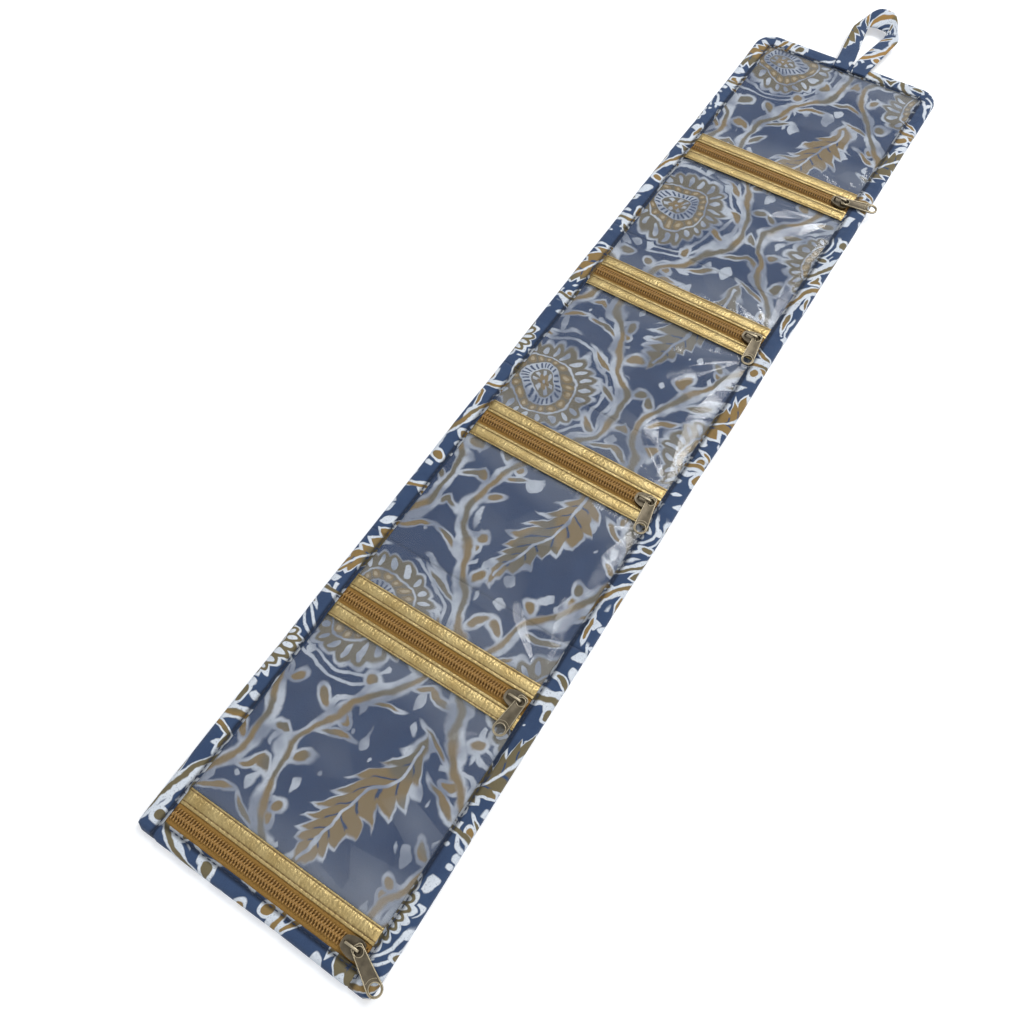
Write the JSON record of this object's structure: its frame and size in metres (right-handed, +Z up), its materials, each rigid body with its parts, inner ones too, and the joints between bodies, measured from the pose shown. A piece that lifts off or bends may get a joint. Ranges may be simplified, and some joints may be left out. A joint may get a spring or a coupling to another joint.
{
  "type": "jewelry pouch",
  "caption": "Fold-up strip of padded printed cotton with clear zipped pockets, bound edges and a hanging loop, for keeping and carrying jewellery.",
  "frame": {"origin": "centre of the strip's underside, on the middle panel, where it rests", "axes": "+X across the strip towards the closed ends of the zips, +Y along the strip towards the hanging loop, +Z up out of the pocket side"},
  "size_m": [0.1316, 0.676, 0.0085],
  "materials": {
    "printed_cotton": "woven cotton, block print in indigo, white and ochre",
    "lining_cotton": "woven cotton, block print, seen through the clear pockets",
    "clear_film": "clear soft vinyl with slight waves",
    "ochre_zip": "woven polyester tape with a nylon coil",
    "gold_trim": "metallic leatherette, crinkled, with stitch rows",
    "antique_brass": "antique brass plating, brighter on worn edges"
  },
  "bodies": {
    "panel_1": {"back_1": "printed_cotton", "lining_1": "lining_cotton", "window_1": "clear_film", "window_2_top": "clear_film", "zip_1_upper": "ochre_zip", "zip_1_lower": "ochre_zip", "trim_1_upper": "gold_trim", "trim_1_lower": "gold_trim", "binding_top": "printed_cotton"},
    "panel_2": {"back_2": "printed_cotton", "lining_2": "lining_cotton", "window_2": "clear_film", "window_3_top": "clear_film", "zip_2_upper": "ochre_zip", "zip_2_lower": "ochre_zip", "trim_2_upper": "gold_trim", "trim_2_lower": "gold_trim", "binding_left_2": "printed_cotton", "binding_right_2": "printed_cotton"},
    "panel_3": {"back_3": "printed_cotton", "lining_3": "lining_cotton", "window_3": "clear_film", "window_4_top": "clear_film", "zip_3_upper": "ochre_zip", "zip_3_lower": "ochre_zip", "trim_3_upper": "gold_trim", "trim_3_lower": "gold_trim", "binding_left_3": "printed_cotton", "binding_right_3": "printed_cotton"},
    "panel_4": {"back_4": "printed_cotton", "lining_4": "lining_cotton", "window_4": "clear_film", "window_5_top": "clear_film", "zip_4_upper": "ochre_zip", "zip_4_lower": "ochre_zip", "trim_4_upper": "gold_trim", "trim_4_lower": "gold_trim", "binding_left_4": "printed_cotton", "binding_right_4": "printed_cotton"},
    "panel_5": {"back_5": "printed_cotton", "lining_5": "lining_cotton", "window_5": "clear_film", "zip_5_upper": "ochre_zip", "zip_5_lower": "ochre_zip", "trim_5_upper": "gold_trim", "binding_left_5": "printed_cotton", "binding_right_5": "printed_cotton", "hem_bottom": "printed_cotton"},
    "zip_slider_1": {"slider_1": "antique_brass"},
    "zip_slider_2": {"slider_2": "antique_brass"},
    "zip_slider_3": {"slider_3": "antique_brass"},
    "zip_slider_4": {"slider_4": "antique_brass"},
    "zip_slider_5": {"slider_5": "antique_brass"},
    "pull_tab_1": {"pull_1": "antique_brass"},
    "pull_tab_2": {"pull_2": "antique_brass"},
    "pull_tab_3": {"pull_3": "antique_brass"},
    "pull_tab_4": {"pull_4": "antique_brass"},
    "pull_tab_5": {"pull_5": "antique_brass"},
    "loop": {"hanging_loop": "printed_cotton"}
  },
  "joints": [
    {"name": "fold_1_2", "type": "hinge", "parent": "panel_1", "child": "panel_2", "pos_m": [0, 0.1635, 0.01955], "axis": [-1, 0, 0], "range_deg": [0, 180]},
    {"name": "fold_2_3", "type": "hinge", "parent": "panel_2", "child": "panel_3", "pos_m": [0, 0.0415, 0.0151], "axis": [-1, 0, 0], "range_deg": [0, 180]},
    {"name": "fold_3_4", "type": "hinge", "parent": "panel_3", "child": "panel_4", "pos_m": [0, -0.0805, 0.01065], "axis": [-1, 0, 0], "range_deg": [0, 180]},
    {"name": "fold_4_5", "type": "hinge", "parent": "panel_4", "child": "panel_5", "pos_m": [0, -0.2025, 0.0062], "axis": [-1, 0, 0], "range_deg": [0, 180]},
    {"name": "zip_1_run", "type": "slide", "parent": "panel_1", "child": "zip_slider_1", "axis": [-1, 0, 0], "range_m": [0, 0.0925]},
    {"name": "zip_2_run", "type": "slide", "parent": "panel_2", "child": "zip_slider_2", "axis": [-1, 0, 0], "range_m": [0, 0.0925]},
    {"name": "zip_3_run", "type": "slide", "parent": "panel_3", "child": "zip_slider_3", "axis": [-1, 0, 0], "range_m": [0, 0.0925]},
    {"name": "zip_4_run", "type": "slide", "parent": "panel_4", "child": "zip_slider_4", "axis": [-1, 0, 0], "range_m": [0, 0.0925]},
    {"name": "zip_5_run", "type": "slide", "parent": "panel_5", "child": "zip_slider_5", "axis": [-1, 0, 0], "range_m": [0, 0.0925]},
    {"name": "pull_1_swing", "type": "hinge", "parent": "zip_slider_1", "child": "pull_tab_1", "pos_m": [0.0497, 0.188, 0.00625], "axis": [0, 0, 1], "range_deg": [-113, 87]},
    {"name": "pull_2_swing", "type": "hinge", "parent": "zip_slider_2", "child": "pull_tab_2", "pos_m": [0.0497, 0.066, 0.00625], "axis": [0, 0, 1], "range_deg": [-16, 184]},
    {"name": "pull_3_swing", "type": "hinge", "parent": "zip_slider_3", "child": "pull_tab_3", "pos_m": [0.0497, -0.056, 0.00625], "axis": [0, 0, 1], "range_deg": [-19, 181]},
    {"name": "pull_4_swing", "type": "hinge", "parent": "zip_slider_4", "child": "pull_tab_4", "pos_m": [0.0497, -0.178, 0.00625], "axis": [0, 0, 1], "range_deg": [-4, 196]},
    {"name": "pull_5_swing", "type": "hinge", "parent": "zip_slider_5", "child": "pull_tab_5", "pos_m": [0.0497, -0.3, 0.00625], "axis": [0, 0, 1], "range_deg": [-71, 129]},
    {"name": "loop_swing", "type": "hinge", "parent": "panel_1", "child": "loop", "pos_m": [0.003, 0.3025, 0.0051], "axis": [1, 0, 0], "range_deg": [0, 180]}
  ]
}
